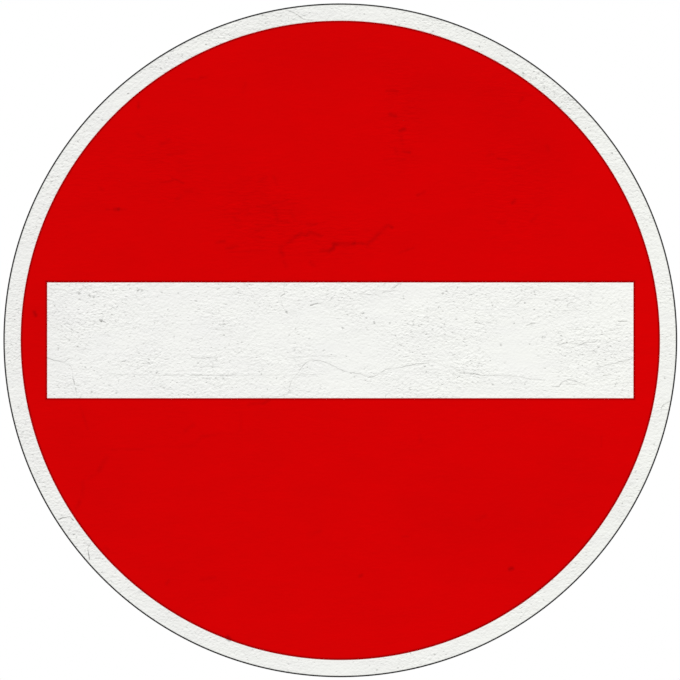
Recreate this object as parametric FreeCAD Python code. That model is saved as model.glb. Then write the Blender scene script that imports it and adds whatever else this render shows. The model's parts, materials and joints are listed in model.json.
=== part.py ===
import FreeCAD, Part
import math
import os

# Round no entry sign: a pressed steel plate with a folded edge, two layers of sheeting
# on its face and two slotted brackets welded to its back.
# The sign stands upright and faces -Y, with +X to the viewer's right and +Z up.
# The origin is at the disc's centre across the face, on the plane of the brackets'
# rear faces, which is where the sign meets its post clamps. Lengths are in millimetres.

# Plate
disc_diameter = 600.0
plate_thickness = 1.0
rim_depth = 15.0
rim_lip = 9.0

# Sheeting
white_border = 14.3
white_thickness = 0.4
red_thickness = 0.1
bar_height = 103.0
bar_end_margin = 23.7

# Brackets
bracket_spacing = 300.0
bracket_length = 180.0
bracket_thickness = 2.0
bracket_proud = 2.0
bracket_web = 34.0
bracket_wall_lean = 3.0
bracket_flange = 18.0
bracket_fold_radius = 2.0
flange_corner_radius = 6.0

# Fixing slots, which take 8 mm bolts
slot_spacing = 90.0
slot_length = 40.0
slot_width = 9.0

# Spot weld marks on the flanges
welds_per_flange = 4
weld_end_margin = 20.0
weld_edge_margin = 8.0
weld_diameter = 6.0
weld_depth = 0.3

# Planes across the sign, measured from the brackets' rear faces
rim_rear_y = -bracket_proud
plate_front_y = rim_rear_y - rim_depth
plate_back_y = plate_front_y + plate_thickness
white_front_y = plate_front_y - white_thickness

# Outlines seen from the front and from behind. The press leaves the plate's folds sharp
# inside and as round outside as the sheet is thick, and the white ends where they start.
disc_radius = disc_diameter / 2
white_radius = disc_radius - plate_thickness
red_radius = white_radius - white_border
bar_width = 2 * (red_radius - bar_end_margin)
bracket_foot = bracket_web + 2 * bracket_wall_lean
bracket_width = bracket_foot + 2 * bracket_flange


def fold_side(corners, offset, fold_radius):
    """Edges of a folded path, moved to its left by offset, with an arc at every fold.

    fold_radius is that of the path itself, so the side inside a fold gets less, down to a
    sharp corner.
    """
    edges = []
    normals = []
    for start, end in zip(corners, corners[1:]):
        run = (end - start).normalize()
        normals.append(FreeCAD.Vector(-run.y, run.x, 0))
    last = corners[0] + normals[0] * offset
    for corner, before, after in zip(corners[1:-1], normals, normals[1:]):
        turn = before.getAngle(after)
        turns_left = before.cross(after).z > 0
        radius = fold_radius - offset if turns_left else fold_radius + offset
        mitre = (before + after).normalize()
        corner_here = corner + mitre * (offset / math.cos(turn / 2))
        if radius <= 0:
            edges.append(Part.LineSegment(last, corner_here).toShape())
            last = corner_here
            continue
        tangent = radius * math.tan(turn / 2)
        run_in = FreeCAD.Vector(before.y, -before.x, 0)
        run_out = FreeCAD.Vector(after.y, -after.x, 0)
        arc_start = corner_here - run_in * tangent
        arc_end = corner_here + run_out * tangent
        inward = mitre if turns_left else mitre * -1
        arc_middle = corner_here + inward * (radius / math.cos(turn / 2) - radius)
        edges.append(Part.LineSegment(last, arc_start).toShape())
        edges.append(Part.Arc(arc_start, arc_middle, arc_end).toShape())
        last = arc_end
    edges.append(Part.LineSegment(last, corners[-1] + normals[-1] * offset).toShape())
    return edges


def folded_section(corners, thickness, inside_radius):
    """Face across a sheet of even thickness, folded at the corners of its middle line."""
    half = thickness / 2
    left = fold_side(corners, half, inside_radius + half)
    right = fold_side(corners, -half, inside_radius + half)
    first_cap = Part.LineSegment(right[0].Vertexes[0].Point, left[0].Vertexes[0].Point)
    last_cap = Part.LineSegment(left[-1].Vertexes[1].Point, right[-1].Vertexes[1].Point)
    outline = left + right + [first_cap.toShape(), last_cap.toShape()]
    return Part.Face(Part.Wire(Part.sortEdges(outline)[0]))


def sign_plate():
    """Disc with its edge folded back and in again, turned about the sign's axis."""
    half = plate_thickness / 2
    middle_y = plate_front_y + half
    lip_y = rim_rear_y - half
    corners = [
        FreeCAD.Vector(0, middle_y, 0),
        FreeCAD.Vector(disc_radius - half, middle_y, 0),
        FreeCAD.Vector(disc_radius - half, lip_y, 0),
        FreeCAD.Vector(disc_radius - rim_lip, lip_y, 0),
    ]
    section = folded_section(corners, plate_thickness, 0)
    return section.revolve(FreeCAD.Vector(), FreeCAD.Vector(0, 1, 0), 360)


def layer(radius, back_y, thickness):
    """Flat disc whose back lies on the plane back_y and whose front faces the viewer."""
    return Part.makeCylinder(
        radius, thickness, FreeCAD.Vector(0, back_y, 0), FreeCAD.Vector(0, -1, 0)
    )


def white_sheeting():
    return layer(white_radius, plate_front_y, white_thickness)


def red_sheeting():
    """Red disc with the window through which the white shows as the bar."""
    window = Part.makeBox(
        bar_width,
        3 * red_thickness,
        bar_height,
        FreeCAD.Vector(-bar_width / 2, white_front_y - 2 * red_thickness, -bar_height / 2),
    )
    return layer(red_radius, white_front_y, red_thickness).cut(window)


def hat_section():
    """Folded face of a bracket: flange, wall, web, wall and flange, lying in X and Y."""
    half = bracket_thickness / 2
    flange_y = plate_back_y + half
    web_y = -half
    corners = [
        FreeCAD.Vector(-bracket_width / 2, flange_y, 0),
        FreeCAD.Vector(-bracket_foot / 2, flange_y, 0),
        FreeCAD.Vector(-bracket_web / 2, web_y, 0),
        FreeCAD.Vector(bracket_web / 2, web_y, 0),
        FreeCAD.Vector(bracket_foot / 2, flange_y, 0),
        FreeCAD.Vector(bracket_width / 2, flange_y, 0),
    ]
    return folded_section(corners, bracket_thickness, bracket_fold_radius)


def rounded_blank():
    """Block with the bracket's outline from behind, which rounds the flanges' corners.

    It stands clear of the bracket by one thickness in front and behind.
    """
    front_y = plate_back_y - bracket_thickness
    block = Part.makeBox(
        bracket_length,
        bracket_thickness - front_y,
        bracket_width,
        FreeCAD.Vector(-bracket_length / 2, front_y, -bracket_width / 2),
    )
    across = [edge for edge in block.Edges if abs(edge.Curve.Direction.y) > 0.5]
    return block.makeFillet(flange_corner_radius, across)


def slot_cutter(x):
    """Round-ended bar through the web, centred on x, with its length along X."""
    front_y = -2 * bracket_thickness
    depth = 3 * bracket_thickness
    straight = slot_length - slot_width
    cutter = Part.makeBox(
        straight,
        depth,
        slot_width,
        FreeCAD.Vector(x - straight / 2, front_y, -slot_width / 2),
    )
    for end_x in (x - straight / 2, x + straight / 2):
        end = Part.makeCylinder(
            slot_width / 2, depth, FreeCAD.Vector(end_x, front_y, 0), FreeCAD.Vector(0, 1, 0)
        )
        cutter = cutter.fuse(end)
    return cutter.removeSplitter()


def weld_marks():
    """Shallow round dents that the welding tips leave on both flanges."""
    floor_y = plate_back_y + bracket_thickness - weld_depth
    row_z = bracket_width / 2 - weld_edge_margin
    first_x = -bracket_length / 2 + weld_end_margin
    pitch = (bracket_length - 2 * weld_end_margin) / (welds_per_flange - 1)
    marks = []
    for index in range(welds_per_flange):
        for z in (-row_z, row_z):
            centre = FreeCAD.Vector(first_x + index * pitch, floor_y, z)
            marks.append(Part.makeCylinder(
                weld_diameter / 2, bracket_thickness, centre, FreeCAD.Vector(0, 1, 0)
            ))
    return marks


def bracket(centre_z):
    """Slotted hat-section strip across the plate's back at the height centre_z."""
    section = hat_section()
    section.rotate(FreeCAD.Vector(), FreeCAD.Vector(0, 1, 0), -90)
    section.translate(FreeCAD.Vector(-bracket_length / 2, 0, 0))
    strip = section.extrude(FreeCAD.Vector(bracket_length, 0, 0)).common(rounded_blank())
    slots = [slot_cutter(x) for x in (-slot_spacing / 2, slot_spacing / 2)]
    strip = strip.cut(slots + weld_marks())
    strip.translate(FreeCAD.Vector(0, 0, centre_z))
    return strip


nodes = {
    "sign_plate": sign_plate(),
    "white_sheeting": white_sheeting(),
    "red_sheeting": red_sheeting(),
    "upper_bracket": bracket(bracket_spacing / 2),
    "lower_bracket": bracket(-bracket_spacing / 2),
}

os.makedirs("parts", exist_ok=True)
for name, shape in nodes.items():
    shape.exportStep("parts/" + name + ".step")
    box = shape.optimalBoundingBox()
    size = [round(length, 2) for length in (box.XLength, box.YLength, box.ZLength)]
    print(name, "solids", len(shape.Solids), "valid", shape.isValid(), "size", size)
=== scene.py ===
import json
import math
import random
from types import SimpleNamespace

import bpy
import numpy as np
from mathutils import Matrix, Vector, noise

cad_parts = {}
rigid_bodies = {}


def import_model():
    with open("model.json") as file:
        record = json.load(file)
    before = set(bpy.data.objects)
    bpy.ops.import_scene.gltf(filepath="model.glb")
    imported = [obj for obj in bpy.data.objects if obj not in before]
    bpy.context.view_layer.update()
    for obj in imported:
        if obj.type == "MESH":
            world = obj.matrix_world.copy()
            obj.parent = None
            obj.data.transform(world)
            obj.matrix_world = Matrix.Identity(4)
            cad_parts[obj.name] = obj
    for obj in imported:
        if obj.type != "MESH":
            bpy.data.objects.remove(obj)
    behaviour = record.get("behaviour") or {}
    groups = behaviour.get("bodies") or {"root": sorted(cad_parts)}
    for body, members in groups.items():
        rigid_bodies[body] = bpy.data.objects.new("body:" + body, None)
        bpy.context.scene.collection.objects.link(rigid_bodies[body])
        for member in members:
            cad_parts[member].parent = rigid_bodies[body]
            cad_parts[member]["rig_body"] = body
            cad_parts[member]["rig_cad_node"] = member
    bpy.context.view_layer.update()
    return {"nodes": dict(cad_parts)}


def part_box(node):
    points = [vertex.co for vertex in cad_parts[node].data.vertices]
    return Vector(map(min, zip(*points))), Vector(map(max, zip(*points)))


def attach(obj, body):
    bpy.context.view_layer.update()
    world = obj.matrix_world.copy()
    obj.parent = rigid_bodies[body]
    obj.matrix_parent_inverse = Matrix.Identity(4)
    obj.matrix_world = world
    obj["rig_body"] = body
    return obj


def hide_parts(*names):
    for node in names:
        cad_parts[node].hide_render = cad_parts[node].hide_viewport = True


# A round no entry sign, seen square on: a steel plate with a folded edge in dark paint,
# white sheeting over its whole face and a red layer with a window for the bar.
# The face looks to -Y. Lengths are in metres, and MM turns millimetres into them.

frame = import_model()

MM = 0.001

# Planes and radii of the solids that the pieces below stand for
plate_low, plate_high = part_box("sign_plate")
white_low, white_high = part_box("white_sheeting")
red_low, red_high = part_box("red_sheeting")
DISC_RADIUS = plate_high.x
PLATE_FRONT = plate_low.y
RIM_REAR = plate_high.y
WHITE_RADIUS = white_high.x
WHITE_FRONT = white_low.y
RED_RADIUS = red_high.x
RED_FRONT = red_low.y
BRACKET_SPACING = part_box("upper_bracket")[0].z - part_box("lower_bracket")[0].z

# Sizes that the solids' boxes don't give, and how far the paint rounds the cut edges
PLATE_THICKNESS = 1.0 * MM
RIM_LIP = 9.0 * MM
BAR_WIDTH = 522.0 * MM
BAR_HEIGHT = 103.0 * MM
LIP_ROUNDING = 0.3 * MM
BRACKET_ROUNDING = 0.12 * MM

# Paint on the rim outside the solid, because the render thins a dark line on white
PAINT_FILM = 0.15 * MM

# The photo's frame: the disc's centre in it, and the size on the face of one of its pixels, of
# which the disc is 673.8 across
PHOTO_PIXELS = 680
PHOTO_CENTRE = (339.8, 339.8)
PHOTO_PIXEL = 0.8905 * MM

# Camera, far off because the photo shows the sign without perspective. Blender takes the
# sensor's width in millimetres.
CAMERA_DISTANCE = 6.0
SENSOR_WIDTH = 36.0

# Light on the face, as shares of the level at which a colour renders as it is written
SUN_SHARE = 0.66
FILL_SHARE = 0.34
SUN_FROM = Vector((-0.1, -1.0, 1.05))
SUN_ANGLE = math.radians(14)

# Light on the back, from a panel that doesn't reach the face
REAR_SHARE = 0.8
REAR_PLACE = Vector((0.6, 1.7, 1.1))
REAR_SIZE = 1.2

# Floor
FLOOR_DROP = 0.12
FLOOR_SIZE = 3.0
FLOOR_COLOUR = "#E6E6E4"
FLOOR_ROUGHNESS = 0.9

# Cells of the meshes that carry the relief, the cuts across a cell that a crack or a pit
# crosses, and how far round a pit those reach, as a share of its radius
BAR_CELL = 1.2 * MM
BORDER_CELL = 0.95 * MM
RED_CELL = 1.9 * MM
WHITE_CUTS = 3
RED_CUTS = 2
PIT_MARGIN = 1.3

# How far the white is sunk under the red's edge and under the rest of it, and in how wide a
# band the relief fades out at an edge
TUCK = 0.2 * MM
COVERED_DEPTH = 0.3 * MM
EDGE_FADE = 1.5 * MM

# The red's rim, in cells: corners nearer than RIM_TRIM to it are cut off, and those left on the
# open edge, up to RIM_REACH from it, are moved out to it
RIM_TRIM = 0.3
RIM_REACH = 3.0

# Steps of the round forms
PLATE_STEPS = 480
FOLD_STEPS = 8
LIP_STEPS = 4
BRACKET_STEPS = 2

# Angles in degrees: past the first two the sheeting and the paint are shaded sharp, past the
# third an edge is rounded, and below the last, two faces are made one
FACE_CREASE = 60
PAINT_CREASE = 35
CUT_EDGE = 40
FLAT = 0.5

# Distances within which vertices count as one, and as on a plane
SAME_PLACE = 0.001 * MM
SAME_PLANE = 0.0001 * MM

# Relief of the face. A named patch of it reaches PATCH_REACH times its half size, and fades
# over the last whole one.
GRAIN_HEIGHT = 0.06 * MM
GRAIN_SIZE = (4.0 * MM, 3.0 * MM)
WAVE_HEIGHT = 0.05 * MM
WAVE_SIZE = (11.0 * MM, 6.0 * MM)
STREAK_HEIGHT = 0.04 * MM
STREAK_SIZE = (20.0 * MM, 3.0 * MM)
PATCH_SIZE = (30.0 * MM, 18.0 * MM)
PATCH_CONTRAST = 0.5
PATCH_REACH = 1.4
ROUGH_RANGE = (0.12, 1.7)

# Cracks and pits, which dirt and painted shade darken by the shares below
CRACK_DEPTH = 0.17 * MM
CRACK_DIRT_AND_SHADE = 0.75
CREASE_HEIGHT = 0.13 * MM
CRACK_WANDER = (0.45 * MM, 0.35 * MM)
CRACK_WANDER_SIZE = (5.0 * MM, 1.8 * MM)
CRACK_FADE_SIZE = (7.0 * MM, 7.0 * MM)
CRACK_FADE_MIDDLE = 0.9
CRACK_FADE_SWING = 0.9
CRACK_FADE_RANGE = (0.5, 1.2)
PIT_DEPTH = 0.22 * MM
PIT_RADIUS = 0.75 * MM
PIT_DIRT_AND_SHADE = 0.27
PIT_BOWL = 1.15
PIT_RAGGED = 0.9
PIT_RAGGED_SIZE = (1.1 * MM, 1.1 * MM)
RANDOM_PIT_SIZES = (0.5, 1.2)
RANDOM_PIT_DIRT_AND_SHADE = (0.05, 0.4)
ALL_PITS = 520
RANDOM_SEED = 7

# The slice of the noise that each pattern of the relief takes, so that no two are alike
GRAIN_SLICE = 1.5
PIT_SLICE = 2.5
PATCH_SLICE = 3.5
WAVE_SLICE = 5.5
STREAK_SLICE = 7.5
FADE_SLICE = 9.5
WANDER_SLICES = (11.5, 17.5)

# Patterns of the facing that are finer or fainter than the mesh, as width, depth and height.
# The real vinyl's flecks and grain are finer than the photo's pixels, so they are drawn as
# coarse as they show in it.
TONE_SIZE = (45 * MM, 1.0, 16 * MM)
TONE_RANGE = (0.1, 0.9)
TONE_LEAN = 0.25
FLECK_SIZE = (3.2 * MM, 3.0 * MM, 2.0 * MM)
FLECK_RANGE = (0.66, 0.84)
FLECK_GAIN = 0.06
# How far dirt and painted shade darken the flecks
FLECK_DIRT_AND_SHADE = 0.18
FLECK_DEPTH = 0.25 * MM
STAIN_SIZE = (10 * MM, 10 * MM, 4 * MM)
STAIN_RANGE = (0.4, 0.75)
GRAIN_BUMP = 0.62 * MM
CHALK_ROUGHNESS = (0.95, 0.8)
CHALK_SPECULAR = 0.02

# The dark line just inside the red's edges, and the darker lines on the white's outer edge and
# on the plate's front fold. A band is darkest at BAND_PEAK of its width, and has BAND_START of that
# at the edge itself.
RED_BAND = 2.2 * MM
WHITE_EDGE_BAND = 0.45 * MM
BAND_PEAK = 0.3
BAND_START = 0.4
FOLD_BAND = 2.0 * MM

# Detail of the noise in the patterns, and how rough it is where it is streaky or speckled
TONE_DETAIL = 4.0
FINE_DETAIL = 2.0
RAIN_STREAK_DETAIL = 5.0
ORANGE_PEEL_DETAIL = 1.0
NOISE_ROUGHNESS = 0.6

# Patterns of the paint
RAIN_STREAK_SIZE = (22 * MM, 22 * MM, 160 * MM)
RAIN_STREAK_RANGE = (0.4, 0.8)
MOST_DUST = 0.45
PAINT_ROUGHNESS = (0.6, 0.85)
PAINT_SPECULAR = 0.08
ORANGE_PEEL_SIZE = 2.5 * MM
ORANGE_PEEL_DEPTH = 0.04 * MM

# Cracks, each as how dark it is, its half width in millimetres, and points along it in the
# photo's pixels
CRACKS = {
    "bar_left_end": (0.6, 0.55, [(46, 357), (54, 360), (59, 361), (64, 362), (67, 359), (72, 358)]),
    "bar_left_branch": (0.4, 0.55, [(64, 362), (70, 366), (72, 372), (72, 379)]),
    "bar_left_branch_mark": (0.75, 0.6, [(73, 379), (74, 384)]),
    "bar_left_branch_foot": (0.65, 0.6, [(75, 387), (76, 393)]),
    "bar_left_stroke": (0.4, 0.45, [(77, 350), (82, 349), (88, 349)]),
    "bar_dark_pit_tail": (0.8, 0.6, [(101, 320), (105, 322)]),
    "bar_low_line_start": (0.25, 0.4, [(113, 374), (150, 375), (161, 375)]),
    "bar_low_line": (0.45, 0.45, [(161, 375), (184, 375)]),
    "bar_low_line_dark": (0.65, 0.45, [(190, 375), (206, 375), (236, 375)]),
    "bar_low_line_end": (0.25, 0.4, [(236, 375), (266, 375), (286, 374)]),
    "bar_left_streak": (0.65, 0.45, [(191, 357), (200, 358), (217, 357)]),
    "bar_left_streak_low": (0.4, 0.45, [(193, 366), (218, 366)]),
    "bar_left_streak_high": (0.5, 0.45, [(191, 340), (202, 338)]),
    "bar_left_dash": (0.6, 0.45, [(142, 363), (152, 363)]),
    "bar_middle_streak": (0.3, 0.4, [(288, 357), (336, 356)]),
    "bar_middle_dash": (0.3, 0.4, [(303, 374), (316, 374)]),
    "bar_drop": (0.35, 0.5, [(284, 282), (283, 288), (284, 293), (280, 297)]),
    "bar_drop_mark": (0.9, 0.5, [(284, 293), (280, 296)]),
    "bar_drop_low": (0.2, 0.45, [(280, 297), (282, 306), (286, 312), (288, 318)]),
    "bar_drop_branch": (0.3, 0.5, [(287, 312), (296, 311)]),
    "bar_drop_branch_dash": (0.5, 0.5, [(298, 308), (302, 307)]),
    "bar_drop_branch_mark": (1.0, 0.75, [(310, 305), (314, 304), (317, 303)]),
    "bar_drop_branch_end": (0.3, 0.45, [(317, 303), (331, 303)]),
    "bar_wave_foot": (0.25, 0.45, [(271, 397), (280, 396), (288, 393), (289, 387)]),
    "bar_wave_rise": (0.5, 0.5, [
        (289, 387), (291, 381), (294, 376), (298, 372), (303, 365), (307, 361), (311, 360),
    ]),
    "bar_wave_top": (0.55, 0.5, [(311, 360), (320, 360), (325, 362), (336, 367)]),
    "bar_wave_fall": (0.55, 0.5, [(336, 367), (344, 371), (350, 372), (362, 374)]),
    "bar_wave_dip": (0.7, 0.5, [(362, 374), (368, 377), (374, 376), (379, 373), (386, 369)]),
    "bar_wave_end": (0.65, 0.5, [(386, 369), (400, 367), (408, 365), (418, 363), (428, 363)]),
    "bar_top_nick": (0.5, 0.6, [(393, 288), (399, 283)]),
    "bar_top_streak": (0.35, 0.45, [(359, 294), (376, 294)]),
    "bar_top_dash": (0.5, 0.45, [(382, 292), (394, 290)]),
    "bar_right_start": (0.4, 0.5, [(450, 366), (454, 368), (462, 371), (473, 374)]),
    "bar_right_mark": (0.9, 0.55, [(473, 373), (478, 374), (484, 375)]),
    "bar_right_line": (0.6, 0.5, [(484, 375), (493, 375), (518, 376), (529, 378), (544, 380)]),
    "bar_right_arch": (0.6, 0.5, [
        (552, 386), (559, 386), (561, 382), (568, 379), (574, 380), (585, 385),
    ]),
    "bar_right_arch_low": (0.35, 0.45, [(566, 384), (574, 384)]),
    "bar_right_short_dash": (0.5, 0.45, [(552, 372), (559, 372)]),
    "bar_right_wave": (0.7, 0.5, [(557, 345), (564, 343), (576, 343), (580, 344), (584, 342)]),
    "bar_right_wave_end": (0.5, 0.5, [(584, 342), (594, 342), (597, 339)]),
    "bar_right_wave_low": (0.5, 0.45, [(586, 351), (596, 351)]),
    "bar_right_upper_dash": (0.45, 0.45, [(568, 329), (582, 329)]),
    "bar_right_upper_low": (0.5, 0.45, [(590, 335), (603, 334)]),
    "bar_right_upper": (0.7, 0.5, [(604, 331), (612, 330), (616, 328), (622, 327)]),
    "bar_right_dash": (0.8, 0.5, [(618, 321), (627, 321)]),
    "bar_right_lower_dash": (0.6, 0.5, [(616, 325), (621, 325)]),
    "bar_right_lower_start": (0.35, 0.5, [(592, 370), (597, 368), (604, 365)]),
    "bar_right_lower": (0.7, 0.5, [(604, 365), (613, 363), (622, 361), (627, 360), (632, 357)]),
    "bar_right_corner_dash": (0.7, 0.55, [(603, 375), (611, 374)]),
    "bar_right_corner_mark": (0.5, 0.5, [(625, 386), (628, 382), (631, 382)]),
    "bar_right_slope": (0.5, 0.45, [(515, 305), (521, 300), (532, 298)]),
    "bar_right_nick": (0.9, 0.5, [(526, 325), (531, 323), (535, 323)]),
    "bar_right_stroke": (0.6, 0.45, [(474, 322), (484, 324)]),
    "bar_upper_stroke": (0.4, 0.45, [(552, 299), (562, 300), (569, 296)]),
    "bar_right_faint": (0.3, 0.4, [(552, 310), (580, 310)]),
    "red_middle_left": (0.33, 3.4, [(282, 254), (280, 249), (282, 245), (288, 242), (293, 238)]),
    "red_middle_arch": (0.36, 2.9, [(293, 238), (297, 235), (301, 233), (306, 235)]),
    "red_middle_arch_end": (0.55, 3.0, [(306, 235), (309, 232), (314, 233), (320, 236)]),
    "red_middle_step": (0.55, 2.9, [(321, 250), (328, 251), (333, 248), (333, 244)]),
    "red_middle_right": (0.72, 3.2, [(334, 244), (346, 244), (354, 243)]),
    "red_middle_right_end": (0.4, 2.2, [(354, 243), (358, 243), (367, 244)]),
    "red_middle_rise": (0.42, 3.3, [(367, 244), (370, 241), (375, 237), (380, 232), (385, 227)]),
    "red_middle_tip": (0.5, 2.6, [(385, 227), (388, 225), (391, 227)]),
    "red_below_bar": (0.17, 2.4, [(80, 406), (82, 413), (87, 428)]),
    "red_long_start": (0.28, 2.2, [(269, 400), (263, 403), (248, 404)]),
    "red_long_drop": (0.08, 2.6, [(241, 409), (240, 430)]),
    "red_long_right": (0.1, 1.7, [(238, 433), (216, 433)]),
    "red_long_mark": (0.18, 2.4, [(214, 435), (201, 436)]),
    "red_long_slope": (0.12, 3.4, [(199, 438), (193, 444)]),
    "red_long_middle": (0.14, 3.2, [(191, 445), (178, 446)]),
    "red_long_faint": (0.07, 2.0, [(176, 446), (146, 446)]),
    "red_long_low": (0.15, 1.9, [(143, 449), (112, 449)]),
    "red_long_bend": (0.26, 3.4, [(106, 457), (103, 463), (99, 470)]),
    "red_long_left": (0.08, 3.0, [(96, 473), (87, 479)]),
    "red_long_upright": (0.14, 3.0, [(83, 481), (82, 496)]),
    "red_long_end": (0.26, 3.0, [(79, 501), (76, 508)]),
    "border_left_low": (1.15, 0.6, [(58, 519), (63, 517), (70, 516), (73, 520)]),
    "border_bottom_left": (1.1, 0.6, [(90, 543), (87, 548), (88, 553), (89, 559)]),
    "border_left": (0.6, 0.5, [(34, 473), (38, 471), (42, 470)]),
    "border_top": (0.6, 0.5, [(285, 10), (293, 12), (298, 15), (303, 19), (309, 20)]),
    "border_right": (0.6, 0.5, [(660, 409), (663, 404), (669, 401)]),
}

# Marks on the red by kind, each kind as how dark it is, its half width in millimetres, and
# the two ends of each mark in the photo's pixels
RED_MARKS = {
    "black_specks": (1.0, 2.6, [
        ((114, 209), (118, 209)), ((227, 637), (229, 639)),
    ]),
    "dark_specks": (0.6, 2.7, [
        ((390, 115), (395, 116)), ((400, 131), (404, 129)), ((34, 312), (35, 315)),
        ((509, 569), (512, 568)),
    ]),
    "specks": (0.35, 2.4, [
        ((403, 151), (409, 152)), ((512, 203), (515, 200)), ((417, 195), (424, 192)),
        ((359, 576), (361, 575)), ((166, 583), (168, 581)), ((307, 224), (316, 224)),
        ((519, 101), (522, 98)), ((138, 102), (138, 107)), ((200, 77), (206, 77)),
        ((216, 242), (224, 241)), ((226, 248), (237, 246)),
    ]),
    "dashes": (0.27, 1.7, [
        ((386, 91), (397, 91)), ((160, 182), (172, 180)), ((172, 178), (183, 183)),
        ((272, 202), (287, 200)), ((280, 221), (288, 222)), ((106, 209), (126, 209)),
        ((497, 158), (507, 159)), ((400, 252), (413, 248)),
    ]),
    "smudges": (0.15, 3.0, [
        ((245, 84), (243, 92)), ((138, 134), (143, 137)), ((161, 144), (169, 140)),
        ((168, 155), (184, 151)), ((176, 199), (180, 196)), ((185, 192), (191, 191)),
        ((98, 186), (102, 190)), ((241, 186), (250, 179)), ((273, 177), (277, 184)),
        ((274, 210), (277, 221)), ((233, 217), (238, 221)), ((256, 230), (268, 226)),
        ((283, 261), (286, 266)), ((310, 262), (314, 266)), ((546, 145), (548, 150)),
        ((531, 221), (538, 213)), ((185, 430), (193, 425)),
        ((105, 547), (107, 549)), ((201, 579), (214, 577)), ((477, 520), (485, 515)),
        ((419, 435), (420, 440)), ((400, 134), (402, 145)), ((395, 149), (397, 154)),
        ((487, 156), (492, 154)), ((308, 534), (320, 531)), ((257, 182), (266, 178)),
        ((499, 223), (505, 221)), ((290, 211), (294, 219)),
    ]),
    "faint_lines": (0.17, 1.4, [
        ((185, 79), (200, 79)), ((176, 170), (191, 170)), ((256, 206), (271, 206)),
        ((224, 209), (248, 210)), ((224, 214), (240, 213)), ((240, 232), (256, 239)),
        ((249, 236), (270, 238)), ((226, 252), (270, 250)), ((388, 94), (396, 94)),
        ((384, 159), (405, 159)), ((496, 168), (525, 168)), ((401, 536), (407, 536)),
        ((601, 437), (601, 446)),
    ]),
}

# Broad darker fields on the red, in the same form
RED_SHADES = {
    "top": (0.06, 40, [((280, 48), (400, 60))]),
    "top_right": (0.085, 50, [((430, 85), (490, 92)), ((490, 92), (540, 145))]),
    "above_bar": (0.05, 22, [((240, 190), (285, 215))]),
    "left_of_top": (0.03, 24, [((165, 130), (180, 185))]),
    "bottom_right": (0.07, 60, [((450, 522), (540, 525)), ((540, 525), (580, 490))]),
    "bottom_left": (0.04, 36, [((75, 440), (110, 520)), ((150, 560), (190, 600))]),
    "left_of_bar": (0.04, 30, [((40, 300), (40, 370))]),
}

# Creases that stand up from the face, each as its share of CREASE_HEIGHT, its half width in
# millimetres, and points along it in the photo's pixels
CREASES = {
    "low_line_start": (0.4, 1.2, [(113, 373), (161, 373)]),
    "low_line": (1.0, 1.2, [(161, 373), (236, 373)]),
    "low_line_end": (0.5, 1.2, [(236, 373), (286, 373), (316, 373)]),
    "low_line_above": (0.6, 1.1, [(183, 369), (206, 369)]),
    "left_dash": (0.6, 1.0, [(142, 361), (152, 361)]),
    "left_streak": (0.7, 1.1, [(190, 354), (200, 355), (217, 355)]),
    "middle_streak": (0.5, 1.0, [(288, 355), (336, 354)]),
    "right_dash": (0.9, 1.0, [(616, 319), (626, 319)]),
    "right_dash_below": (0.6, 1.0, [(616, 323), (626, 323)]),
    "right_mark": (0.7, 1.0, [(496, 373), (518, 374), (530, 375)]),
    "right_wave": (0.7, 1.0, [(557, 343), (573, 340), (597, 338)]),
    "right_arch": (0.6, 1.0, [(560, 383), (570, 377), (577, 379)]),
    "top_stroke": (0.8, 1.1, [(352, 291), (366, 290), (378, 287)]),
    "top_stroke_left": (0.8, 1.1, [(300, 290), (316, 286), (330, 286)]),
    "right_nick": (0.9, 1.0, [(524, 327), (536, 325)]),
}

# Larger pits by size, each size as its share of PIT_RADIUS and the places in the photo's pixels
PITS = {
    "dark": (2.4, [(101, 320)]),
    "large": (1.55, [
        (79, 293), (89, 295), (138, 290), (142, 290), (363, 313), (395, 335), (514, 323), (523, 73),
        (286, 312), (374, 323),
    ]),
    "medium": (1.3, [
        (93, 297), (85, 367), (116, 393), (374, 322), (342, 328), (261, 374), (542, 337),
        (570, 100), (161, 292), (225, 304), (432, 329), (456, 319), (578, 364), (492, 384),
        (457, 287), (531, 293), (535, 294), (597, 364), (426, 334), (442, 293), (76, 537),
    ]),
    "small": (1.1, [
        (66, 307), (366, 318), (298, 334), (295, 329), (276, 378), (403, 298), (579, 108),
        (544, 88), (105, 332), (71, 329), (107, 346), (199, 349), (224, 324), (217, 290),
        (446, 291), (545, 368), (616, 383), (622, 390), (472, 382), (598, 347), (289, 335),
        (294, 350), (444, 324), (403, 296), (464, 310), (544, 337), (503, 289), (534, 292),
    ]),
}

# Rougher patches of the white, and quieter ones below 0: how much rougher, the middle, and the
# half width and height in the photo's pixels
WHITE_PATCHES = {
    "bar_left": (0.2, (78, 305), (42, 30)),
    "bar_dark_pit": (0.4, (110, 318), (16, 14)),
    "bar_left_quiet": (-0.2, (165, 318), (36, 24)),
    "bar_left_low": (0.3, (205, 366), (26, 22)),
    "bar_middle_top_right": (0.15, (350, 292), (30, 16)),
    "bar_middle_quiet": (-0.4, (345, 352), (36, 30)),
    "bar_middle_quiet_top": (-0.3, (384, 310), (20, 16)),
    "bar_right_quiet_top": (-0.4, (424, 292), (20, 14)),
    "bar_right_middle": (0.4, (440, 340), (40, 34)),
    "bar_right_quiet": (-0.3, (520, 345), (34, 34)),
    "bar_right": (0.3, (592, 345), (34, 26)),
    "bar_right_quiet_corner": (-0.2, (602, 293), (26, 14)),
    "bar_right_quiet_low": (-0.2, (480, 392), (60, 8)),
    "border_left": (0.1, (40, 470), (24, 60)),
    "border_left_middle": (0.35, (12, 335), (14, 44)),
    "border_bottom_quiet": (-0.3, (300, 668), (120, 20)),
    "border_right": (0.45, (568, 112), (40, 40)),
    "border_top": (0.25, (430, 25), (90, 30)),
    "border_top_left": (0.25, (200, 45), (110, 50)),
    "border_left_high": (0.1, (60, 162), (40, 60)),
}

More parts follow.
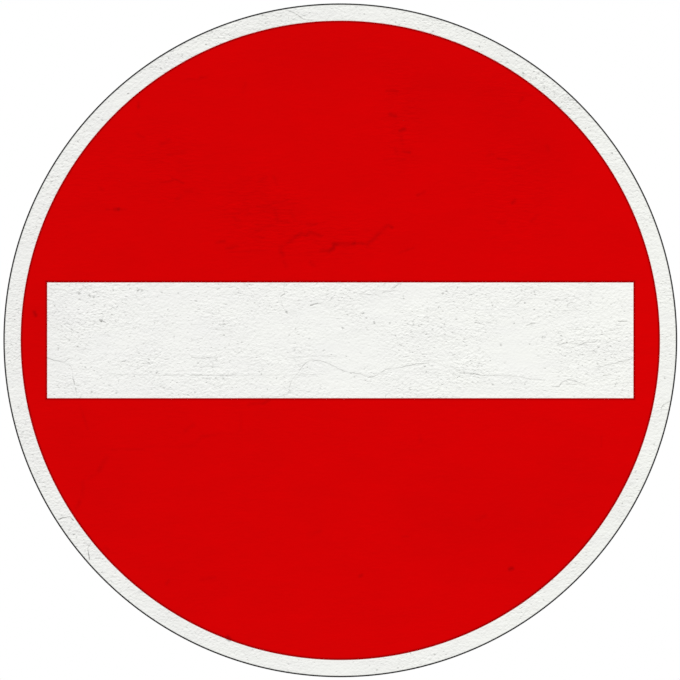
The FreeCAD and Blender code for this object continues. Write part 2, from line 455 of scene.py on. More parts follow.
# The same for the red
RED_PATCHES = {
    "above_bar": (0.36, (258, 212), (44, 40)),
    "arch": (0.3, (330, 236), (60, 22)),
    "left_of_top": (0.24, (168, 165), (36, 44)),
    "top_middle": (0.3, (400, 120), (20, 50)),
    "top_right": (0.22, (515, 190), (44, 60)),
    "top_right_edge": (0.2, (520, 90), (46, 26)),
    "left_edge": (0.15, (80, 160), (40, 60)),
}

# The two facings, each with its colour when clean, in a darker tone, at the edge, and darkened by
# dirt and painted shade, the share of dirt that its stains show, the share of an even film of dirt,
# how rough it is, how much of the mesh's grain it has, the size of its finer grain, which lies
# flatter on the red, and its patches
WHITE = SimpleNamespace(
    colour="#F7F8F3", darker_tone="#F0F0EE", edge="#5E5E5A", grime_and_shade="#585853", stained=0.03, film=0,
    rough=0.95, grain=1.0, fine_grain=(2.3 * MM, 1.5 * MM, 1.9 * MM), patches=WHITE_PATCHES,
)
RED = SimpleNamespace(
    colour="#D80002", darker_tone="#D00001", edge="#920002", grime_and_shade="#8C0104", stained=0.2, film=0,
    rough=0.15, grain=0.0, fine_grain=(6.5 * MM, 2.0 * MM, 2.0 * MM), patches=RED_PATCHES,
)

# The white's border, which water from the whole face runs over, is a little dirtier than its bar
BORDER = SimpleNamespace(**vars(WHITE))
BORDER.film = 0.024

# The paint: its colour, that of dust on it, and the nearly black colour of its front fold
PAINT_COLOUR = "#3A3D3F"
PAINT_DUST = "#4A4A46"
FOLD_NEAR_BLACK = "#0D0E0F"


def on_face(place):
    """A place in the photo's pixels as X and Z on the sign's face."""
    x = (place[0] - PHOTO_CENTRE[0]) * PHOTO_PIXEL
    z = (PHOTO_CENTRE[1] - place[1]) * PHOTO_PIXEL
    return x, z


def hex_linear(code):
    """An sRGB hex value as a linear colour."""
    channels = [int(code[i:i + 2], 16) / 255 for i in (1, 3, 5)]
    return [c / 12.92 if c <= 0.04045 else ((c + 0.055) / 1.055) ** 2.4 for c in channels] + [1.0]


def per_metre(size):
    """How often a pattern of that width, depth and height repeats in a metre."""
    return [1 / length for length in size]


# The Mix node's colour inputs and output, by number because others share their names
MIX_A = 6
MIX_B = 7
MIXED = 2


def add_node(tree, kind, settings, links=()):
    """Adds a node, sets its properties and inputs, and links other nodes' outputs to it.

    A link is given as a socket, or as a node whose first output is meant.
    """
    node = tree.nodes.new(kind)
    for name, value in settings.items():
        if isinstance(name, int) or name in node.inputs:
            node.inputs[name].default_value = value
        else:
            setattr(node, name, value)
    for name, source in dict(links).items():
        socket = source.outputs[0] if isinstance(source, bpy.types.Node) else source
        tree.links.new(socket, node.inputs[name])
    return node


def new_material(name):
    """A new material, its node tree and the shader in that."""
    material = bpy.data.materials.new(name)
    material.use_nodes = True
    tree = material.node_tree
    return material, tree, tree.nodes["Principled BSDF"]


def join_surface(tree, shader, colour, roughness, relief):
    """Links the last nodes of a surface's colour, roughness and relief to its shader."""
    tree.links.new(colour.outputs[MIXED], shader.inputs["Base Color"])
    tree.links.new(roughness.outputs["Result"], shader.inputs["Roughness"])
    tree.links.new(relief.outputs["Normal"], shader.inputs["Normal"])


def vinyl_tone(tree, place):
    """How far the facing's colour moves to its darker tone: more towards the left, and in streaks
    some 45 mm wide.
    """
    low, high = TONE_RANGE
    drawn = add_node(tree, "ShaderNodeMapping", {"Scale": per_metre(TONE_SIZE)}, {"Vector": place})
    streaks = add_node(
        tree, "ShaderNodeTexNoise",
        {"Scale": 1.0, "Detail": TONE_DETAIL, "Roughness": NOISE_ROUGHNESS}, {"Vector": drawn},
    )
    sideways = add_node(tree, "ShaderNodeSeparateXYZ", {}, {"Vector": place})
    leaning = add_node(
        tree, "ShaderNodeMath", {"operation": "MULTIPLY_ADD", 1: -TONE_LEAN / DISC_RADIUS},
        {0: sideways, 2: streaks},
    )
    return add_node(
        tree, "ShaderNodeMapRange", {"From Min": low, "From Max": high}, {"Value": leaning}
    )


def vinyl_flecks(tree, place, rough):
    """Dents finer than the mesh: the tops of a flat noise, more of them where it is rough."""
    low, high = FLECK_RANGE
    drawn = add_node(tree, "ShaderNodeMapping", {"Scale": per_metre(FLECK_SIZE)}, {"Vector": place})
    speckled = add_node(
        tree, "ShaderNodeTexNoise",
        {"Scale": 1.0, "Detail": FINE_DETAIL, "Roughness": NOISE_ROUGHNESS}, {"Vector": drawn},
    )
    raised = add_node(
        tree, "ShaderNodeMath", {"operation": "MULTIPLY_ADD", 1: FLECK_GAIN},
        {0: rough, 2: speckled},
    )
    tops = add_node(
        tree, "ShaderNodeMapRange", {"From Min": low, "From Max": high}, {"Value": raised}
    )
    return add_node(tree, "ShaderNodeMath", {"operation": "MULTIPLY"}, {0: tops, 1: rough})


def vinyl_dirt_and_shade(tree, place, rough, flecks, stained):
    """Darkening: dirt and painted shade in the mesh's cracks and pits and in the flecks, and dirt
    in stains on rough patches.
    """
    low, high = STAIN_RANGE
    # The mesh's cracks and pits, darkened by dirt and painted shade
    mesh_darkening = add_node(tree, "ShaderNodeAttribute", {"attribute_name": "grime_and_shade"}).outputs["Fac"]
    flecked = add_node(
        tree, "ShaderNodeMath", {"operation": "MULTIPLY", 1: FLECK_DIRT_AND_SHADE}, {0: flecks}
    )
    dirt_and_shade = add_node(tree, "ShaderNodeMath", {"operation": "MAXIMUM"}, {0: mesh_darkening, 1: flecked})
    drawn = add_node(tree, "ShaderNodeMapping", {"Scale": per_metre(STAIN_SIZE)}, {"Vector": place})
    blotches = add_node(
        tree, "ShaderNodeTexNoise", {"Scale": 1.0, "Detail": FINE_DETAIL}, {"Vector": drawn}
    )
    stains = add_node(
        tree, "ShaderNodeMapRange", {"From Min": low, "From Max": high, "To Max": stained},
        {"Value": blotches},
    )
    return add_node(
        tree, "ShaderNodeMath", {"operation": "MULTIPLY_ADD"}, {0: stains, 1: rough, 2: dirt_and_shade}
    )


def vinyl_relief(tree, place, rough, flecks, fine_grain):
    """The relief that is finer than the mesh: a grain, and the flecks sunk in it."""
    drawn = add_node(tree, "ShaderNodeMapping", {"Scale": per_metre(fine_grain)}, {"Vector": place})
    grain = add_node(
        tree, "ShaderNodeTexNoise", {"Scale": 1.0, "Detail": FINE_DETAIL}, {"Vector": drawn}
    )
    height = add_node(tree, "ShaderNodeMath", {"operation": "MULTIPLY"}, {0: grain, 1: rough})
    raised = add_node(
        tree, "ShaderNodeBump", {"Strength": 1.0, "Distance": GRAIN_BUMP}, {"Height": height}
    )
    return add_node(
        tree, "ShaderNodeBump", {"Strength": 1.0, "Distance": FLECK_DEPTH, "invert": True},
        {"Height": flecks, "Normal": raised},
    )


def edge_line(tree, inside, band):
    """A line along an edge, darkest a little way in, by how far places lie inside the edge."""
    peak = BAND_PEAK * band
    fading = add_node(
        tree, "ShaderNodeMapRange", {"From Min": band, "From Max": peak}, {"Value": inside}
    )
    rising = add_node(
        tree, "ShaderNodeMapRange", {"From Max": peak, "To Min": BAND_START}, {"Value": inside}
    )
    return add_node(tree, "ShaderNodeMath", {"operation": "MINIMUM"}, {0: fading, 1: rising})


def weathered_vinyl(name, facing, band, margin):
    """Calendered vinyl sheeting after years outdoors.

    It has gone chalky, so it hardly shines, and dirt and painted shade darken its cracks and pits.
    It has its edge colour in a band of that width along its edge, and margin is the function
    that adds the nodes for how far a place lies inside that edge.
    """
    material, tree, shader = new_material(name)
    shader.inputs["Specular IOR Level"].default_value = CHALK_SPECULAR
    place = add_node(tree, "ShaderNodeTexCoord", {}).outputs["Object"]
    rough = add_node(tree, "ShaderNodeAttribute", {"attribute_name": "rough"}).outputs["Fac"]
    tone = vinyl_tone(tree, place)
    flecks = vinyl_flecks(tree, place, rough)
    dirt_and_shade = vinyl_dirt_and_shade(tree, place, rough, flecks, facing.stained)
    clean = add_node(
        tree, "ShaderNodeMix",
        {"data_type": "RGBA", MIX_A: hex_linear(facing.colour), MIX_B: hex_linear(facing.darker_tone)},
        {"Factor": tone},
    )
    # Dirt and painted shade darken the clean colour
    darkened = add_node(
        tree, "ShaderNodeMix", {"data_type": "RGBA", MIX_B: hex_linear(facing.grime_and_shade)},
        {"Factor": dirt_and_shade, MIX_A: clean.outputs[MIXED]},
    )
    edged = add_node(
        tree, "ShaderNodeMix", {"data_type": "RGBA", MIX_B: hex_linear(facing.edge)},
        {"Factor": edge_line(tree, margin(tree, place), band), MIX_A: darkened.outputs[MIXED]},
    )
    chalk = add_node(
        tree, "ShaderNodeMapRange", {"To Min": CHALK_ROUGHNESS[0], "To Max": CHALK_ROUGHNESS[1]},
        {"Value": tone},
    )
    relief = vinyl_relief(tree, place, rough, flecks, facing.fine_grain)
    join_surface(tree, shader, edged, chalk, relief)
    return material


def inside_circle(tree, place, radius):
    """How far a place lies inside a circle about the sign's axis."""
    upright = add_node(
        tree, "ShaderNodeVectorMath", {"operation": "MULTIPLY", 1: (1, 0, 1)}, {0: place}
    )
    out = add_node(tree, "ShaderNodeVectorMath", {"operation": "LENGTH"}, {0: upright})
    return add_node(
        tree, "ShaderNodeMath", {"operation": "SUBTRACT", 0: radius}, {1: out.outputs["Value"]}
    )


def white_edge(tree, place):
    """How far a place lies inside the white's outer edge."""
    return inside_circle(tree, place, WHITE_RADIUS)


def red_edge(tree, place):
    """How far a place lies from the red's rim or its window, the nearer."""
    parts = add_node(tree, "ShaderNodeSeparateXYZ", {}, {"Vector": place})
    past = []
    for axis, half in (("X", BAR_WIDTH / 2), ("Z", BAR_HEIGHT / 2)):
        out = add_node(tree, "ShaderNodeMath", {"operation": "ABSOLUTE"}, {0: parts.outputs[axis]})
        past.append(add_node(tree, "ShaderNodeMath", {"operation": "SUBTRACT", 1: half}, {0: out}))
    window = add_node(tree, "ShaderNodeMath", {"operation": "MAXIMUM"}, {0: past[0], 1: past[1]})
    rim = inside_circle(tree, place, RED_RADIUS)
    return add_node(tree, "ShaderNodeMath", {"operation": "MINIMUM"}, {0: window, 1: rim})


def rain_streaks(tree, place):
    """Dust and rain streaks that run down, from 0 to MOST_DUST."""
    low, high = RAIN_STREAK_RANGE
    drawn = add_node(
        tree, "ShaderNodeMapping", {"Scale": per_metre(RAIN_STREAK_SIZE)}, {"Vector": place}
    )
    streaks = add_node(
        tree, "ShaderNodeTexNoise",
        {"Scale": 1.0, "Detail": RAIN_STREAK_DETAIL, "Roughness": NOISE_ROUGHNESS},
        {"Vector": drawn},
    )
    return add_node(
        tree, "ShaderNodeMapRange", {"From Min": low, "From Max": high, "To Max": MOST_DUST},
        {"Value": streaks},
    )


def front_fold(tree, place):
    """1 on the fold outside the white's edge, at the front, and 0 further back."""
    depth = add_node(tree, "ShaderNodeSeparateXYZ", {}, {"Vector": place})
    in_front = add_node(
        tree, "ShaderNodeMapRange",
        {"From Min": PLATE_FRONT + FOLD_BAND, "From Max": PLATE_FRONT + FOLD_BAND / 2},
        {"Value": depth.outputs["Y"]},
    )
    outside = add_node(
        tree, "ShaderNodeMath", {"operation": "LESS_THAN", 1: 0.0},
        {0: inside_circle(tree, place, WHITE_RADIUS)},
    )
    return add_node(tree, "ShaderNodeMath", {"operation": "MULTIPLY"}, {0: in_front, 1: outside})


def powder_coat(name):
    """Polyester powder coat on pressed steel: satin, with a faint orange peel and some dust.

    The front fold, beside the sheeting, is coloured nearly black, which draws the thin dark line
    round the sign.
    """
    material, tree, shader = new_material(name)
    shader.inputs["Specular IOR Level"].default_value = PAINT_SPECULAR
    place = add_node(tree, "ShaderNodeTexCoord", {}).outputs["Object"]
    dust = rain_streaks(tree, place)
    dusty = add_node(
        tree, "ShaderNodeMix",
        {"data_type": "RGBA", MIX_A: hex_linear(PAINT_COLOUR), MIX_B: hex_linear(PAINT_DUST)},
        {"Factor": dust},
    )
    # Nearly black on the front fold, which draws the dark line round the sign
    darkened = add_node(
        tree, "ShaderNodeMix", {"data_type": "RGBA", MIX_B: hex_linear(FOLD_NEAR_BLACK)},
        {"Factor": front_fold(tree, place), MIX_A: dusty.outputs[MIXED]},
    )
    satin = add_node(
        tree, "ShaderNodeMapRange",
        {"From Max": MOST_DUST, "To Min": PAINT_ROUGHNESS[0], "To Max": PAINT_ROUGHNESS[1]},
        {"Value": dust},
    )
    peel = add_node(
        tree, "ShaderNodeTexNoise",
        {"Scale": 1 / ORANGE_PEEL_SIZE, "Detail": ORANGE_PEEL_DETAIL}, {"Vector": place},
    )
    bump = add_node(
        tree, "ShaderNodeBump", {"Strength": 1.0, "Distance": ORANGE_PEEL_DEPTH}, {"Height": peel}
    )
    join_surface(tree, shader, darkened, satin, bump)
    return material


def noise_at(x, z, size, slice_at):
    """Perlin noise at each place, with features of that width and height."""
    width, height = size
    return np.array([
        noise.noise((a / width, b / height, slice_at)) for a, b in zip(x.tolist(), z.tolist())
    ])


def bar_margin(x, z):
    """How far places lie inside the red's window, below 0 outside it."""
    return np.minimum(BAR_WIDTH / 2 - np.abs(x), BAR_HEIGHT / 2 - np.abs(z))


def border_margin(x, z):
    """How far places lie inside the white ring round the red."""
    out = np.hypot(x, z)
    return np.minimum(out - RED_RADIUS, WHITE_RADIUS - out)


def red_margin(x, z):
    """How far places lie inside the red layer."""
    return np.minimum(RED_RADIUS - np.hypot(x, z), -bar_margin(x, z))


def roughness_at(x, z, facing):
    """How rough a facing is at each place, by chance and by its named patches."""
    rough = facing.rough * (1 + PATCH_CONTRAST * noise_at(x, z, PATCH_SIZE, PATCH_SLICE))
    for amount, middle, half in facing.patches.values():
        mx, mz = on_face(middle)
        away = np.hypot((x - mx) / (half[0] * PHOTO_PIXEL), (z - mz) / (half[1] * PHOTO_PIXEL))
        rough += amount * np.clip(PATCH_REACH - away, 0, 1)
    return np.clip(rough, *ROUGH_RANGE)


def line_rows(lines):
    """The straight runs of named lines, as rows of two ends, a strength and a half width."""
    rows = []
    for strength, half_width, places in lines.values():
        points = [on_face(place) for place in places]
        for start, end in zip(points, points[1:]):
            rows.append((*start, *end, strength, half_width * MM))
    return rows


def mark_rows(kinds):
    """The same rows for kinds of marks, each of which has many marks with two ends."""
    return [
        (*on_face(start), *on_face(end), strength, half_width * MM)
        for strength, half_width, marks in kinds.values()
        for start, end in marks
    ]


def pit_places():
    """Rows of X, Z, radius and darkening by dirt and painted shade: the named pits, and random ones
    where the white is rough.
    """
    chance = random.Random(RANDOM_SEED)
    rows = [
        (*on_face(place), size * PIT_RADIUS, size * PIT_DIRT_AND_SHADE)
        for size, places in PITS.values()
        for place in places
    ]
    while len(rows) < ALL_PITS:
        x = chance.uniform(-WHITE_RADIUS, WHITE_RADIUS)
        z = chance.uniform(-WHITE_RADIUS, WHITE_RADIUS)
        size = chance.uniform(*RANDOM_PIT_SIZES)
        dirt_and_shade = chance.uniform(*RANDOM_PIT_DIRT_AND_SHADE)
        limit = chance.uniform(0, ROUGH_RANGE[1])
        out = math.hypot(x, z)
        in_bar = abs(x) < BAR_WIDTH / 2 and abs(z) < BAR_HEIGHT / 2
        white = in_bar or RED_RADIUS < out < WHITE_RADIUS
        if white and roughness_at(np.array([x]), np.array([z]), WHITE)[0] > limit:
            rows.append((x, z, size * PIT_RADIUS, dirt_and_shade))
    return np.array(rows)


CRACK_ROWS = line_rows(CRACKS) + mark_rows(RED_MARKS)
CREASE_ROWS = line_rows(CREASES)
SHADE_ROWS = mark_rows(RED_SHADES)
PIT_ROWS = pit_places()


def wander(x, z, slice_at):
    """How far each place is shifted, so that the cracks don't run straight."""
    return sum(
        far * noise_at(x, z, (size, size), slice_at + size)
        for far, size in zip(CRACK_WANDER, CRACK_WANDER_SIZE)
    )


def line_closeness(x, z, rows, spread):
    """For each place, the strength of the line there, which falls to 0 at its side.

    spread makes every line wider by that much.
    """
    x = x + wander(x, z, WANDER_SLICES[0])
    z = z + wander(x, z, WANDER_SLICES[1])
    best = np.zeros(len(x))
    for ax, az, bx, bz, strength, half_width in rows:
        run_x = bx - ax
        run_z = bz - az
        along = ((x - ax) * run_x + (z - az) * run_z) / (run_x ** 2 + run_z ** 2)
        along = np.clip(along, 0, 1)
        away = np.hypot(x - ax - along * run_x, z - az - along * run_z)
        best = np.maximum(best, strength * np.clip(1 - away / (half_width + spread), 0, 1))
    return best


def pit_closeness(x, z):
    """For each place, how deep in a pit it lies, 1 at its middle, and how much dirt and painted
    shade darken that pit.

    PIT_BOWL above 1 gives a pit a flat floor and takes its side a little past its radius.
    """
    ragged = PIT_RAGGED * noise_at(x, z, PIT_RAGGED_SIZE, PIT_SLICE)
    depth = np.zeros(len(x))
    dirt_and_shade = np.zeros(len(x))
    for px, pz, radius, darkened in PIT_ROWS:
        away = np.hypot(x - px, z - pz) / radius + ragged
        inside = np.clip(PIT_BOWL - away ** 2, 0, 1)
        depth = np.maximum(depth, inside)
        dirt_and_shade = np.maximum(dirt_and_shade, darkened * inside)
    return depth, dirt_and_shade


def face_relief(x, z, facing):
    """Height, darkening by dirt and painted shade, and roughness of a facing at each place."""
    rough = roughness_at(x, z, facing)
    height = facing.grain * GRAIN_HEIGHT * noise_at(x, z, GRAIN_SIZE, GRAIN_SLICE) * rough
    height += WAVE_HEIGHT * noise_at(x, z, WAVE_SIZE, WAVE_SLICE) * facing.rough
    height += STREAK_HEIGHT * noise_at(x, z, STREAK_SIZE, STREAK_SLICE) * rough
    fade = CRACK_FADE_MIDDLE + CRACK_FADE_SWING * noise_at(x, z, CRACK_FADE_SIZE, FADE_SLICE)
    fade = np.clip(fade, *CRACK_FADE_RANGE)
    crack = fade * line_closeness(x, z, CRACK_ROWS, 0)
    pit, pit_dirt_and_shade = pit_closeness(x, z)
    height += CREASE_HEIGHT * fade * line_closeness(x, z, CREASE_ROWS, 0)
    height -= CRACK_DEPTH * crack + PIT_DEPTH * pit
    # Dirt and painted shade darken the cracks and pits; the even film is dirt, and the red's broad
    # fields are a darker tone
    grime_and_shade = np.maximum(CRACK_DIRT_AND_SHADE * crack, pit_dirt_and_shade) + facing.film
    grime_and_shade += line_closeness(x, z, SHADE_ROWS, 0)
    return height, np.clip(grime_and_shade, 0, 1), rough


def only(piece):
    """Makes piece the one selected and active object."""
    bpy.ops.object.select_all(action="DESELECT")
    piece.select_set(True)
    bpy.context.view_layer.objects.active = piece


def edit_selected(piece, parts, chosen):
    """Opens piece in edit mode with only the chosen ones of its vertices or faces selected."""
    only(piece)
    mesh = piece.data
    for kind in (mesh.vertices, mesh.edges, mesh.polygons):
        kind.foreach_set("select", np.zeros(len(kind), bool))
    getattr(mesh, parts).foreach_set("select", chosen)
    bpy.context.tool_settings.mesh_select_mode = (parts == "vertices", False, parts == "polygons")
    bpy.ops.object.mode_set(mode="EDIT")


def places_of(items, what):
    """X, Y and Z of a mesh's vertices or faces, a row for each."""
    places = np.empty(len(items) * 3)
    items.foreach_get(what, places)
    return places.reshape(-1, 3)


def refine(piece, spread, cuts):
    """Splits the front faces that a crack or a pit crosses, so that the mesh can show it.

    A crack or a crease takes in faces whose middle is up to spread beside it.
    """
    x, front, z = places_of(piece.data.polygons, "center").T
    near = line_closeness(x, z, CRACK_ROWS + CREASE_ROWS, spread) > 0
    for px, pz, radius, _ in PIT_ROWS:
        near |= np.hypot(x - px, z - pz) < PIT_MARGIN * radius
    near &= front < WHITE_FRONT + TUCK / 2
    edit_selected(piece, "polygons", near)
    bpy.ops.mesh.subdivide(number_cuts=cuts)
    bpy.ops.object.mode_set(mode="OBJECT")


def carve(piece, surface, facing, margin):
    """Moves the front's vertices to the relief, and stores its darkening by dirt and painted shade,
    and its roughness.

    surface is the plane of the front, and margin the function for how far places lie inside
    what shows. The relief fades out at that edge, and beyond it the vertices are sunk so that
    they are tucked under the next layer.
    """
    mesh = piece.data
    places = places_of(mesh.vertices, "co")
    front = np.abs(places[:, 1] - surface) < SAME_PLANE
    x = places[front, 0]
    z = places[front, 2]
    height, grime_and_shade, rough = face_relief(x, z, facing)
    inside = margin(x, z)
    height *= np.clip(inside / EDGE_FADE, 0, 1)
    places[front, 1] = surface + np.where(inside < -TUCK, TUCK, -height)
    mesh.vertices.foreach_set("co", places.ravel())
    for name, amounts in (("grime_and_shade", grime_and_shade), ("rough", rough)):
        whole = np.zeros(len(mesh.vertices))
        whole[front] = amounts
        mesh.attributes.new(name, "FLOAT", "POINT").data.foreach_set("value", whole)
    mesh.update()


def close_back(piece, depth):
    """Extrudes the open edges back by depth and fills the flat back."""
    only(piece)
    bpy.ops.object.mode_set(mode="EDIT")
    bpy.context.tool_settings.mesh_select_mode = (False, True, False)
    bpy.ops.mesh.select_all(action="DESELECT")
    bpy.ops.mesh.select_non_manifold()
    bpy.ops.mesh.extrude_region_move(TRANSFORM_OT_translate={"value": (0, depth, 0)})
    bpy.ops.mesh.fill()
    bpy.ops.mesh.select_all(action="SELECT")
    bpy.ops.mesh.normals_make_consistent(inside=False)
    bpy.ops.object.mode_set(mode="OBJECT")


def upright_grid(name, cells_x, cells_z, cell_x, cell_z, front):
    """Grid facing -Y on the plane front, centred on the sign's axis."""
    bpy.ops.mesh.primitive_grid_add(
        x_subdivisions=cells_x, y_subdivisions=cells_z, size=1,
        location=(0, front, 0), rotation=(math.pi / 2, 0, 0),
    )
    piece = bpy.context.active_object
    piece.name = name
    piece.scale = (cells_x * cell_x, cells_z * cell_z, 1)
    bpy.ops.object.transform_apply()
    return piece


def smooth(piece, angle):
    """Smooth shading, but sharp where faces meet at more than angle."""
    only(piece)
    bpy.ops.object.shade_smooth_by_angle(angle=math.radians(angle))


def even_out(piece):
    """Lets large flat faces keep their own shading right up to the small rounded ones."""
    only(piece)
    evening = piece.modifiers.new("evening", "WEIGHTED_NORMAL")
    evening.keep_sharp = True
    bpy.ops.object.modifier_apply(modifier=evening.name)


def dress(piece, material, slot, *nodes):
    """Gives the piece its material and its body, and hides the solids that it stands for."""
    piece.data.materials.clear()
    piece.data.materials.append(material)
    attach(piece, "root")
    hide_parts(*nodes)


def white_bar():
    """The white that shows through the red's window, with one more cell all round under the red."""
    cells_x = round(BAR_WIDTH / BAR_CELL)
    cells_z = round(BAR_HEIGHT / BAR_CELL)
    cell_x = BAR_WIDTH / cells_x
    cell_z = BAR_HEIGHT / cells_z
    piece = upright_grid("white_bar", cells_x + 2, cells_z + 2, cell_x, cell_z, WHITE_FRONT)
    refine(piece, BAR_CELL / 2, WHITE_CUTS)
    close_back(piece, PLATE_FRONT - WHITE_FRONT)
    carve(piece, WHITE_FRONT, WHITE, bar_margin)
    return piece


def ringed(name, profile, steps):
    """A solid round the sign's axis, from a circle that is extruded and scaled ring by ring.

    The profile gives each ring's radius and Y, from the front to the back, and flat discs close
    the first ring and the last one.
    """
    radius, y = profile[0]
    bpy.ops.mesh.primitive_circle_add(
        vertices=steps, radius=radius, fill_type="TRIFAN",
        location=(0, y, 0), rotation=(math.pi / 2, 0, 0),
    )
    piece = bpy.context.active_object
    piece.name = name
    bpy.ops.object.transform_apply()
    bpy.ops.object.mode_set(mode="EDIT")
    bpy.context.tool_settings.mesh_select_mode = (False, True, False)
    bpy.ops.mesh.select_all(action="DESELECT")
    bpy.ops.mesh.select_non_manifold()
    for next_radius, next_y in profile[1:]:
        share = next_radius / radius
        bpy.ops.mesh.extrude_region_move(TRANSFORM_OT_translate={"value": (0, next_y - y, 0)})
        bpy.ops.transform.resize(value=(share, 1, share), center_override=(0, 0, 0))
        radius, y = next_radius, next_y
    bpy.ops.mesh.extrude_region_move()
    bpy.ops.mesh.merge(type="CENTER")
    bpy.ops.mesh.select_all(action="SELECT")
    bpy.ops.mesh.normals_make_consistent(inside=False)
    bpy.ops.object.mode_set(mode="OBJECT")
    return piece


def white_border():
    """The white disc: its border in relief, and plain and sunk where the red covers it."""
    inner = RED_RADIUS - BORDER_CELL / 2
    rings = round((WHITE_RADIUS - inner) / BORDER_CELL)
    radii = [inner + (WHITE_RADIUS - inner) * i / rings for i in range(rings + 1)]
    profile = [(inner - BORDER_CELL, WHITE_FRONT + COVERED_DEPTH)]
    profile += [(radius, WHITE_FRONT) for radius in radii]
    profile += [(WHITE_RADIUS, PLATE_FRONT)]
    piece = ringed("white_border", profile, round(2 * math.pi * WHITE_RADIUS / BORDER_CELL))
    refine(piece, BORDER_CELL / 2, WHITE_CUTS)
    carve(piece, WHITE_FRONT, BORDER, border_margin)
    return piece


def red_field():
    """The red layer: a grid trimmed to the circle, with the bar's window cut on grid lines."""
    half_x = BAR_WIDTH / 2
    half_z = BAR_HEIGHT / 2
    cell_x = half_x / round(half_x / RED_CELL)
    cell_z = half_z / round(half_z / RED_CELL)
    cells_x = 2 * math.ceil(RED_RADIUS / cell_x)
    cells_z = 2 * math.ceil(RED_RADIUS / cell_z)
    piece = upright_grid("red_field", cells_x, cells_z, cell_x, cell_z, RED_FRONT)
    mesh = piece.data
    x, _, z = places_of(mesh.vertices, "co").T
    beyond = np.hypot(x, z) > RED_RADIUS - RIM_TRIM * RED_CELL
    window = (np.abs(x) < half_x - cell_x / 2) & (np.abs(z) < half_z - cell_z / 2)
    edit_selected(piece, "vertices", beyond | window)
    bpy.ops.mesh.delete(type="VERT")
    bpy.ops.mesh.select_all(action="DESELECT")
    bpy.ops.mesh.select_non_manifold()
    bpy.ops.object.mode_set(mode="OBJECT")
    for vertex in mesh.vertices:
        flat = Vector((vertex.co.x, vertex.co.z))
        if vertex.select and flat.length > RED_RADIUS - RIM_REACH * RED_CELL:
            flat *= RED_RADIUS / flat.length
            vertex.co.x, vertex.co.z = flat
    refine(piece, RED_CELL / 3, RED_CUTS)
    close_back(piece, WHITE_FRONT - RED_FRONT + TUCK)
    carve(piece, RED_FRONT, RED, red_margin)
    return piece


def arc(centre, radius, first, last, steps):
    """Points on an arc in radius and Y, by angles in degrees from the outward direction."""
    turns = [math.radians(first + (last - first) * i / steps) for i in range(steps + 1)]
    return [(centre[0] + radius * math.cos(t), centre[1] + radius * math.sin(t)) for t in turns]


def sign_plate():
    """The pressed plate, with rounded folds, a softened edge to its lip and paint on its rim."""
    t = PLATE_THICKNESS
    back = PLATE_FRONT + t
    wall = DISC_RADIUS - t
    edge = LIP_ROUNDING
    lip = DISC_RADIUS - RIM_LIP + edge
    profile = arc((wall + PAINT_FILM, back), t, -90, 0, FOLD_STEPS)
    profile += arc((wall + PAINT_FILM, RIM_REAR - t), t, 0, 90, FOLD_STEPS)
    profile += arc((lip, RIM_REAR - edge), edge, 90, 180, LIP_STEPS)
    profile += arc((lip, RIM_REAR - t + edge), edge, 180, 270, LIP_STEPS)
    profile += [(wall, RIM_REAR - t), (wall, back)]
    return ringed("painted_plate", profile, PLATE_STEPS)


def bracket(node):
    """A copy of a bracket's solid with its cut edges slightly rounded, as paint leaves them.
    """
    solid = frame["nodes"][node]
    piece = solid.copy()
    piece.data = solid.data.copy()
    piece.name = "painted_" + node
    piece.parent = None
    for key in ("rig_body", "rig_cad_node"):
        del piece[key]
    bpy.context.scene.collection.objects.link(piece)
    only(piece)
    bpy.ops.object.mode_set(mode="EDIT")
    bpy.ops.mesh.select_all(action="SELECT")
    bpy.ops.mesh.remove_doubles(threshold=SAME_PLACE)
    bpy.ops.mesh.dissolve_limited(angle_limit=math.radians(FLAT))
    bpy.ops.object.mode_set(mode="OBJECT")
    rounding = piece.modifiers.new("rounding", "BEVEL")
    rounding.width = BRACKET_ROUNDING
    rounding.segments = BRACKET_STEPS
    rounding.use_clamp_overlap = False
    rounding.limit_method = "ANGLE"
    rounding.angle_limit = math.radians(CUT_EDGE)
    bpy.ops.object.modifier_apply(modifier=rounding.name)
    return piece


def raised_copy(piece, name, rise):
    """A copy of piece, with its own mesh, that stands higher by rise."""
    twin = piece.copy()
    twin.data = piece.data.copy()
    twin.name = name
    twin.location.z = rise
    bpy.context.scene.collection.objects.link(twin)
    only(twin)
    bpy.ops.object.transform_apply()
    return twin


def camera():
    """Square on to the face, with the disc where it stands in the photo's frame.

    The photo's pixels are counted from the middle of its first one.
    """
    middle = (PHOTO_PIXELS - 1) / 2
    x, z = on_face((middle, middle))
    bpy.ops.object.camera_add(
        location=(x, RED_FRONT - CAMERA_DISTANCE, z), rotation=(math.pi / 2, 0, 0)
    )
    eye = bpy.context.active_object
    eye.data.sensor_width = SENSOR_WIDTH
    eye.data.lens = SENSOR_WIDTH * CAMERA_DISTANCE / (PHOTO_PIXELS * PHOTO_PIXEL)
    bpy.context.scene.camera = eye


def aimed_lamp(kind, place, size, energy):
    """A soft lamp at place that shines at the sign's middle."""
    bpy.ops.object.light_add(type=kind, location=place)
    lamp = bpy.context.active_object
    lamp.rotation_euler = (-place).to_track_quat("-Z", "Y").to_euler()
    lamp.data.energy = energy
    if kind == "SUN":
        lamp.data.angle = size
    else:
        lamp.data.size = size


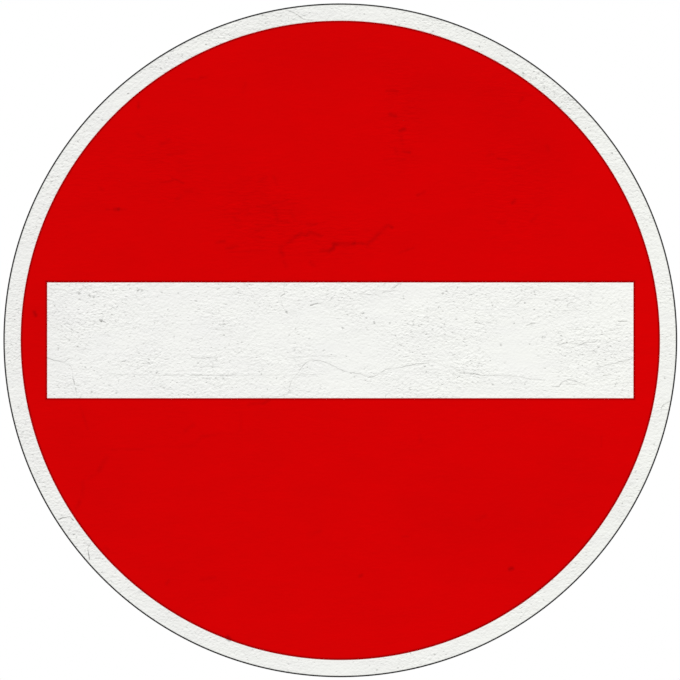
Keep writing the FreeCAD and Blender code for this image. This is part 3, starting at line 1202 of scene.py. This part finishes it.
def lights():
    """A soft sun on the face, a panel behind for the back, an even fill and a white background.

    A colour renders as it is written where pi watts fall on a square metre.
    """
    facing = abs(SUN_FROM.normalized().y)
    aimed_lamp("SUN", SUN_FROM, SUN_ANGLE, SUN_SHARE * math.pi / facing)
    aimed_lamp("AREA", REAR_PLACE, REAR_SIZE, REAR_SHARE * (math.pi * REAR_PLACE.length) ** 2)
    world = bpy.data.worlds.new("studio")
    bpy.context.scene.world = world
    world.use_nodes = True
    tree = world.node_tree
    fill = tree.nodes["Background"]
    fill.inputs["Color"].default_value = (1, 1, 1, 1)
    fill.inputs["Strength"].default_value = FILL_SHARE
    white = add_node(tree, "ShaderNodeBackground", {"Color": (1, 1, 1, 1), "Strength": 1.0})
    path = add_node(tree, "ShaderNodeLightPath", {})
    seen = add_node(
        tree, "ShaderNodeMath", {"operation": "MAXIMUM"},
        {0: path.outputs["Is Camera Ray"], 1: path.outputs["Is Glossy Ray"]},
    )
    seen = add_node(
        tree, "ShaderNodeMath", {"operation": "MAXIMUM"},
        {0: seen, 1: path.outputs["Is Transmission Ray"]},
    )
    mixed = add_node(tree, "ShaderNodeMixShader", {}, {0: seen, 1: fill, 2: white})
    tree.links.new(mixed.outputs["Shader"], tree.nodes["World Output"].inputs["Surface"])


def floor():
    """A plain pale floor under the sign, out of the photo's view.

    It leaves the fill light from below as it is.
    """
    bpy.ops.mesh.primitive_plane_add(
        size=FLOOR_SIZE, location=(0, 0, -DISC_RADIUS - FLOOR_DROP)
    )
    piece = bpy.context.active_object
    piece.name = "floor"
    piece.visible_diffuse = False
    material, _, shader = new_material("pale_floor")
    shader.inputs["Base Color"].default_value = hex_linear(FLOOR_COLOUR)
    shader.inputs["Roughness"].default_value = FLOOR_ROUGHNESS
    piece.data.materials.append(material)


# Stage
bpy.context.scene.view_settings.view_transform = "Standard"
camera()
lights()
floor()

# Materials
white_vinyl = weathered_vinyl("weathered_white_vinyl", WHITE, WHITE_EDGE_BAND, white_edge)
red_vinyl = weathered_vinyl("weathered_red_vinyl", RED, RED_BAND, red_edge)
grey_paint = powder_coat("dark_grey_powder_coat")

# Pieces
for piece in (white_border(), white_bar()):
    smooth(piece, FACE_CREASE)
    dress(piece, white_vinyl, "white_facing", "white_sheeting")
piece = red_field()
smooth(piece, FACE_CREASE)
dress(piece, red_vinyl, "red_facing", "red_sheeting")
piece = sign_plate()
smooth(piece, PAINT_CREASE)
even_out(piece)
dress(piece, grey_paint, "grey_paint", "sign_plate")
lower_bracket = bracket("lower_bracket")
smooth(lower_bracket, PAINT_CREASE)
even_out(lower_bracket)
upper_bracket = raised_copy(lower_bracket, "painted_upper_bracket", BRACKET_SPACING)
dress(lower_bracket, grey_paint, "grey_paint", "lower_bracket")
dress(upper_bracket, grey_paint, "grey_paint", "upper_bracket")
